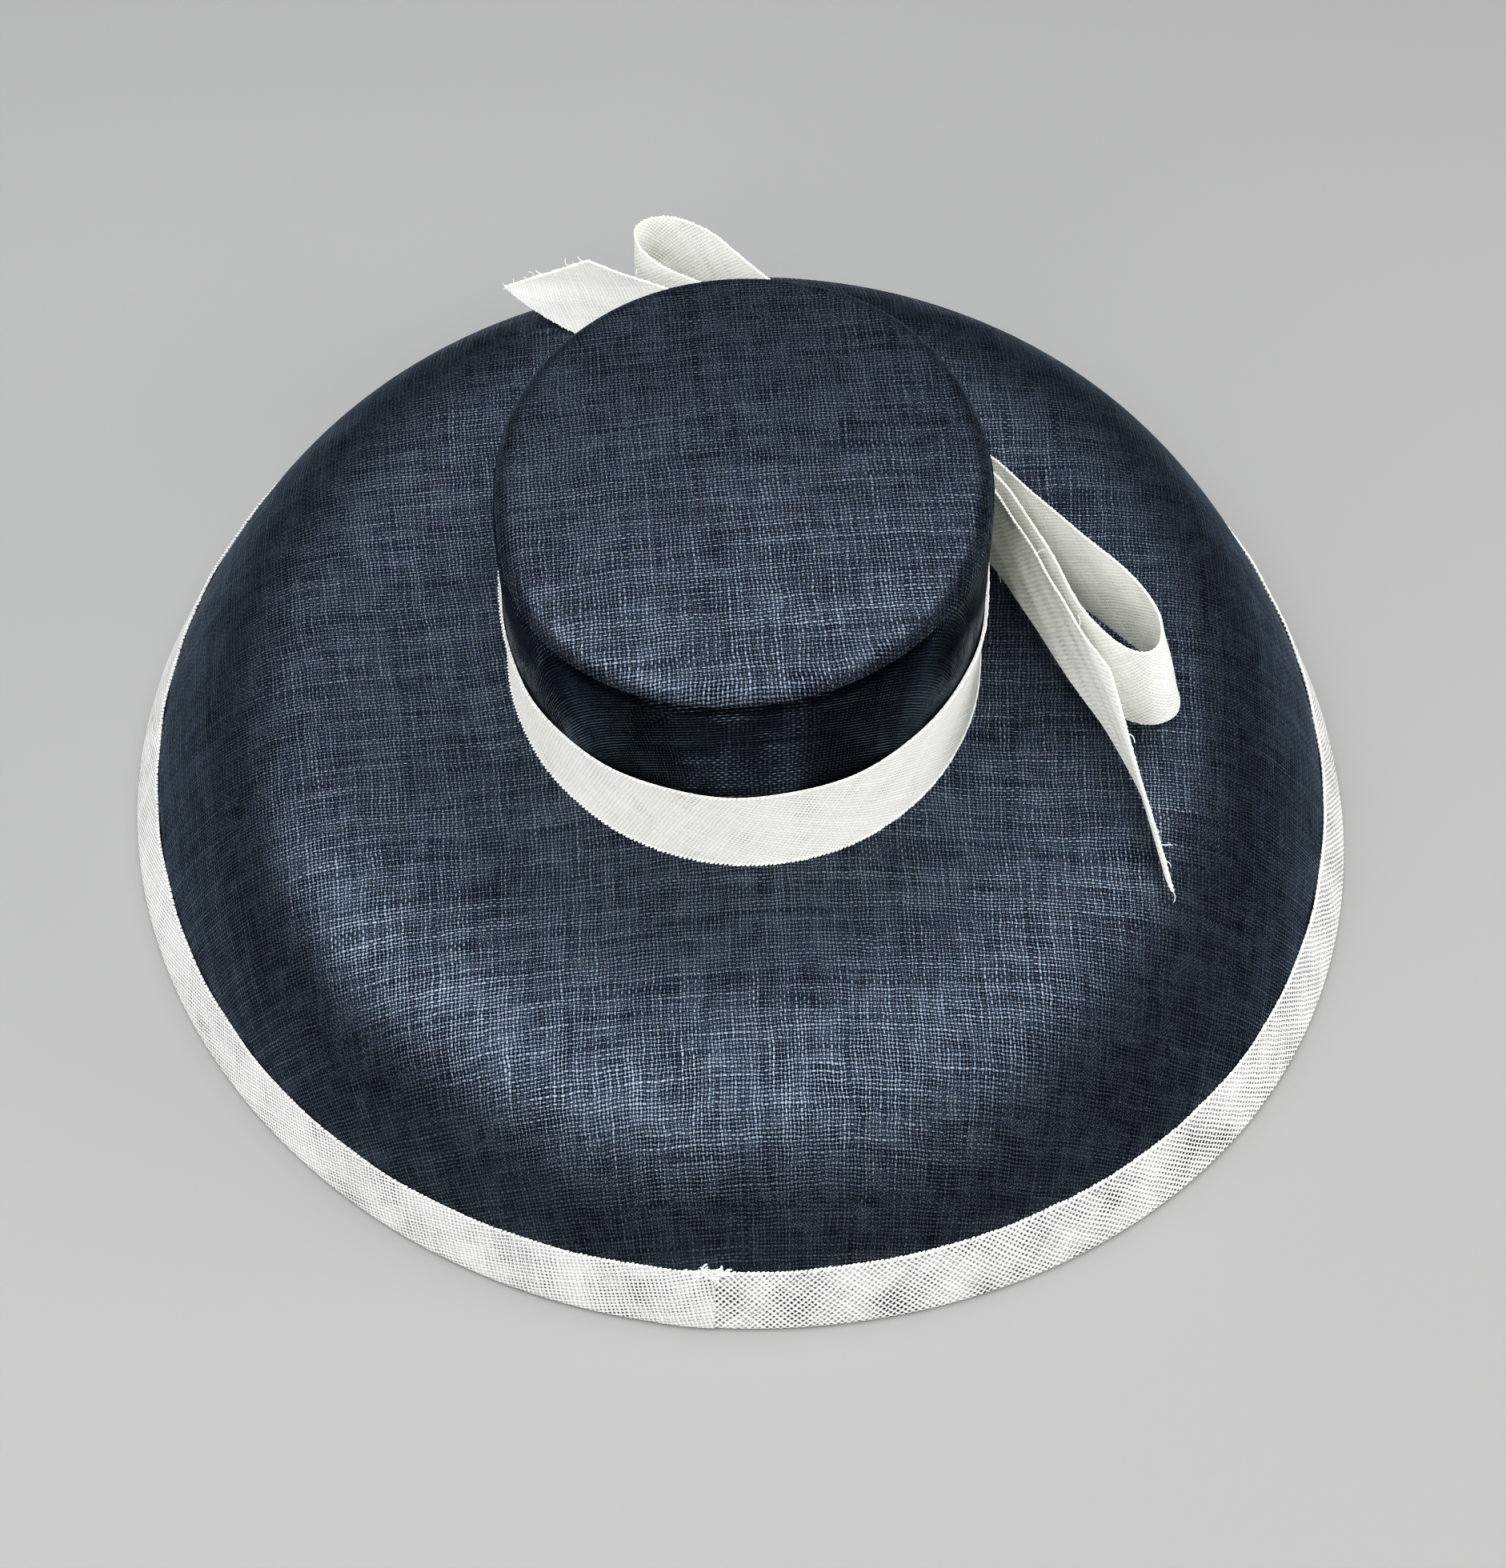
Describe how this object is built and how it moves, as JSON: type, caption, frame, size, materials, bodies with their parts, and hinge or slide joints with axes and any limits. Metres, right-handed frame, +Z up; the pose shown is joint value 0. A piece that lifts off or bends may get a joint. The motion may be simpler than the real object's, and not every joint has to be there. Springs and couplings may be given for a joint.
{
  "type": "wide brim dress hat",
  "caption": "Stiff wide-brimmed straw-cloth dress hat with a flat-topped oval crown, a turned-down brim with a folded edge binding, and a hat band tied in a flat ribbon bow.",
  "frame": {"origin": "middle of the brim's rim outline, on the plane that the rim stands on", "axes": "+Z up through the crown's tip, +Y towards the front of the hat, -Y towards the back where the binding is joined, +X towards the wearer's right"},
  "size_m": [0.4673, 0.4934, 0.1651],
  "materials": {
    "navy_sinamay": "open plain-woven straw cloth, satin threads, dark navy",
    "ivory_sinamay": "open plain-woven straw cloth cut on the bias, satin threads, ivory"
  },
  "bodies": {
    "root": {"crown": "navy_sinamay", "brim": "navy_sinamay", "brim_binding": "ivory_sinamay", "hat_band": "ivory_sinamay", "bow_knot": "ivory_sinamay", "bow_loop_right": "ivory_sinamay", "bow_loop_left": "ivory_sinamay", "bow_tail_right": "ivory_sinamay", "bow_tail_left": "ivory_sinamay"}
  },
  "joints": []
}
